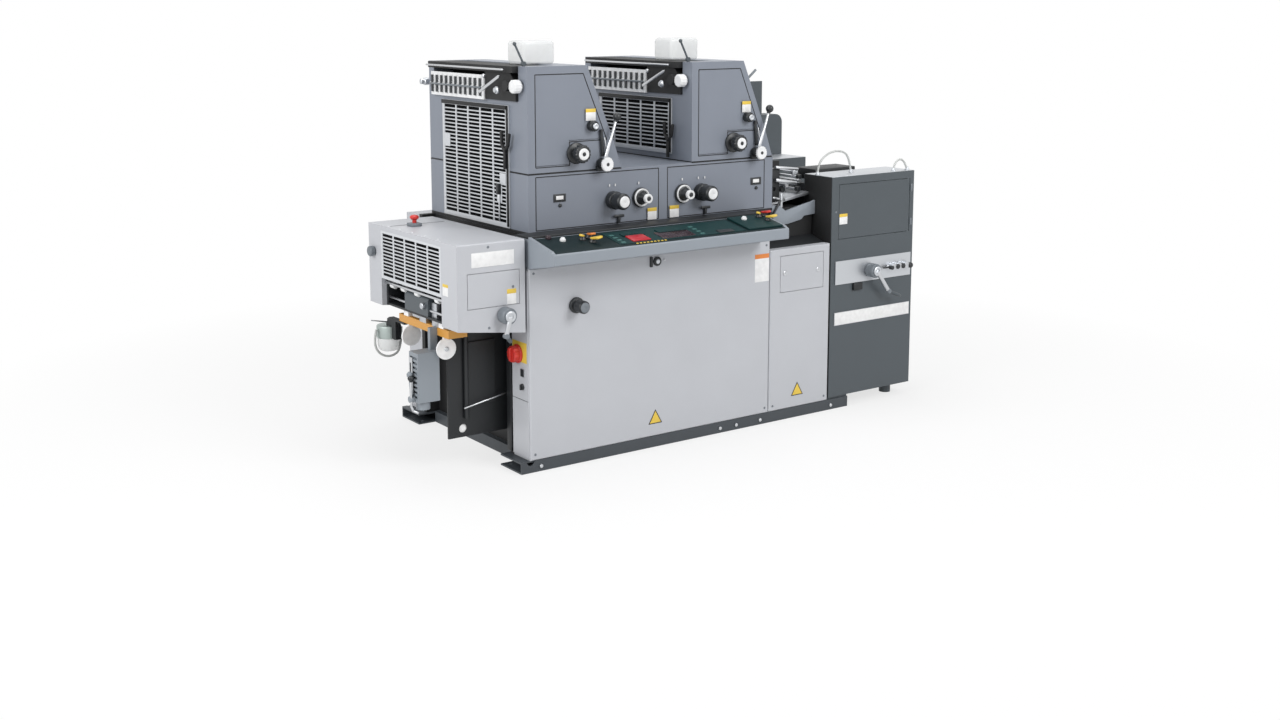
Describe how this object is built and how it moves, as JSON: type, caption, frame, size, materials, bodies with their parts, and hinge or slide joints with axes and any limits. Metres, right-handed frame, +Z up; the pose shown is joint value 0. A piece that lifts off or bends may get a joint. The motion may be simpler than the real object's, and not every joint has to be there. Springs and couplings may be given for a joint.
{
  "type": "offset printing press",
  "caption": "Sheet-fed offset press with twin inking towers on a covered body, a slotted-guard delivery hood, a control console and a cabinet feeder.",
  "frame": {"origin": "on the floor, under the middle of the machine's bounding box", "axes": "+X from the delivery end to the feeder end, +Y from the operator's side to the drive side, +Z up"},
  "size_m": [2.3377, 1.133, 1.57],
  "materials": {
    "light_enamel": "satin baked enamel",
    "grey_enamel": "satin baked enamel",
    "dark_enamel": "satin baked enamel",
    "yellow_enamel": "satin enamel",
    "console_paint": "satin baked enamel",
    "black_plastic": "moulded, satin",
    "bright_steel": "turned or ground",
    "white_plastic": "moulded, translucent white",
    "clear_hose": "flexible, translucent",
    "red_plastic": "moulded, gloss"
  },
  "bodies": {
    "press": {"base_frame": "dark_enamel", "brake_cover": "dark_enamel", "console_housing": "console_paint", "console_levers": "black_plastic", "console_panel": "console_paint", "control_box": "dark_enamel", "delivery_frame": "dark_enamel", "delivery_guard": "light_enamel", "delivery_hood": "light_enamel", "door_fittings": "black_plastic", "drive_cover": "light_enamel", "feedboard": "grey_enamel", "feedboard_rollers": "bright_steel", "feeder_cabinet_front": "dark_enamel", "feeder_cabinet_rear": "dark_enamel", "feeder_head_plate": "dark_enamel", "feeder_hose_left": "clear_hose", "feeder_hose_right": "clear_hose", "feeder_pile_board": "bright_steel", "feeder_strip": "bright_steel", "front_cover": "light_enamel", "ink_fountains": "dark_enamel", "ink_key_plates": "white_plastic", "inking_rollers": "black_plastic", "inset_doors": "light_enamel", "jar_hose": "clear_hose", "jogger_bar": "yellow_enamel", "jogger_wheels": "white_plastic", "lift_gearbox": "dark_enamel", "lower_unit_housing": "grey_enamel", "machine_body": "dark_enamel", "pump_head": "dark_enamel", "side_cover": "light_enamel", "side_cover_rim": "dark_enamel", "solution_bottles": "white_plastic", "spray_jar": "white_plastic", "stop_button": "red_plastic", "switch_panel": "light_enamel", "tower_1_housing": "grey_enamel", "tower_2_housing": "grey_enamel", "unit_covers": "grey_enamel"},
    "delivery_crank": {"delivery_crank": "bright_steel"},
    "feeder_crank": {"feeder_crank": "bright_steel"},
    "throw_lever_1": {"throw_lever_1": "bright_steel"},
    "handwheel_1": {"handwheel_1": "black_plastic"},
    "dial_knob_1": {"dial_knob_1": "black_plastic"},
    "guard_1": {"guard_1": "light_enamel"},
    "top_lever_1": {"top_lever_1": "black_plastic"},
    "throw_lever_2": {"throw_lever_2": "bright_steel"},
    "handwheel_2": {"handwheel_2": "black_plastic"},
    "dial_knob_2": {"dial_knob_2": "black_plastic"},
    "guard_2": {"guard_2": "light_enamel"},
    "top_lever_2": {"top_lever_2": "black_plastic"},
    "plate_knob_1": {"plate_knob_1": "black_plastic"},
    "plate_knob_2": {"plate_knob_2": "black_plastic"},
    "side_knob_1": {"side_knob_1": "black_plastic"},
    "side_knob_2": {"side_knob_2": "black_plastic"},
    "cover_knob": {"cover_knob": "black_plastic"},
    "main_switch": {"main_switch": "red_plastic"},
    "feeder_door": {"feeder_door": "dark_enamel"}
  },
  "joints": [
    {"name": "delivery_crank_turn", "type": "hinge", "parent": "press", "child": "delivery_crank", "pos_m": [-0.902, -0.397, 0.607], "axis": [0, -1, 0], "continuous": true},
    {"name": "feeder_crank_turn", "type": "hinge", "parent": "press", "child": "feeder_crank", "pos_m": [0.899, -0.397, 0.582], "axis": [0, -1, 0], "continuous": true},
    {"name": "throw_lever_1_swing", "type": "hinge", "parent": "press", "child": "throw_lever_1", "pos_m": [-0.423, -0.307, 1.112], "axis": [0, -1, 0], "range_deg": [-20, 20]},
    {"name": "handwheel_1_turn", "type": "hinge", "parent": "press", "child": "handwheel_1", "pos_m": [-0.534, -0.307, 1.157], "axis": [0, -1, 0], "continuous": true},
    {"name": "dial_knob_1_turn", "type": "hinge", "parent": "press", "child": "dial_knob_1", "pos_m": [-0.464, -0.307, 1.255], "axis": [0, -1, 0], "continuous": true},
    {"name": "guard_1_lift", "type": "hinge", "parent": "press", "child": "guard_1", "pos_m": [-0.7433, 0, 1.334], "axis": [0, 1, 0], "range_deg": [0, 90]},
    {"name": "top_lever_1_swing", "type": "hinge", "parent": "press", "child": "top_lever_1", "pos_m": [-0.728, -0.264, 1.4893], "axis": [0, -1, 0], "range_deg": [-15, 40]},
    {"name": "throw_lever_2_swing", "type": "hinge", "parent": "press", "child": "throw_lever_2", "pos_m": [0.327, -0.307, 1.112], "axis": [0, -1, 0], "range_deg": [-20, 20]},
    {"name": "handwheel_2_turn", "type": "hinge", "parent": "press", "child": "handwheel_2", "pos_m": [0.216, -0.307, 1.157], "axis": [0, -1, 0], "continuous": true},
    {"name": "dial_knob_2_turn", "type": "hinge", "parent": "press", "child": "dial_knob_2", "pos_m": [0.286, -0.307, 1.255], "axis": [0, -1, 0], "continuous": true},
    {"name": "guard_2_lift", "type": "hinge", "parent": "press", "child": "guard_2", "pos_m": [0.0067, 0, 1.334], "axis": [0, 1, 0], "range_deg": [0, 90]},
    {"name": "top_lever_2_swing", "type": "hinge", "parent": "press", "child": "top_lever_2", "pos_m": [0.022, -0.264, 1.4893], "axis": [0, -1, 0], "range_deg": [-15, 40]},
    {"name": "plate_knob_1_turn", "type": "hinge", "parent": "press", "child": "plate_knob_1", "pos_m": [-0.369, -0.307, 0.97], "axis": [0, -1, 0], "continuous": true},
    {"name": "plate_knob_2_turn", "type": "hinge", "parent": "press", "child": "plate_knob_2", "pos_m": [0.0525, -0.307, 0.97], "axis": [0, -1, 0], "continuous": true},
    {"name": "side_knob_1_turn", "type": "hinge", "parent": "press", "child": "side_knob_1", "pos_m": [-0.239, -0.307, 0.97], "axis": [0, -1, 0], "continuous": true},
    {"name": "side_knob_2_turn", "type": "hinge", "parent": "press", "child": "side_knob_2", "pos_m": [-0.0365, -0.307, 0.97], "axis": [0, -1, 0], "continuous": true},
    {"name": "cover_knob_turn", "type": "hinge", "parent": "press", "child": "cover_knob", "pos_m": [-0.597, -0.397, 0.606], "axis": [0, -1, 0], "continuous": true},
    {"name": "main_switch_turn", "type": "hinge", "parent": "press", "child": "main_switch", "pos_m": [-0.797, -0.322, 0.437], "axis": [-1, 0, 0], "range_deg": [0, 90]},
    {"name": "feeder_door_swing", "type": "hinge", "parent": "press", "child": "feeder_door", "pos_m": [1.1297, -0.392, 0.844], "axis": [0, 0, 1], "range_deg": [0, 90]}
  ]
}
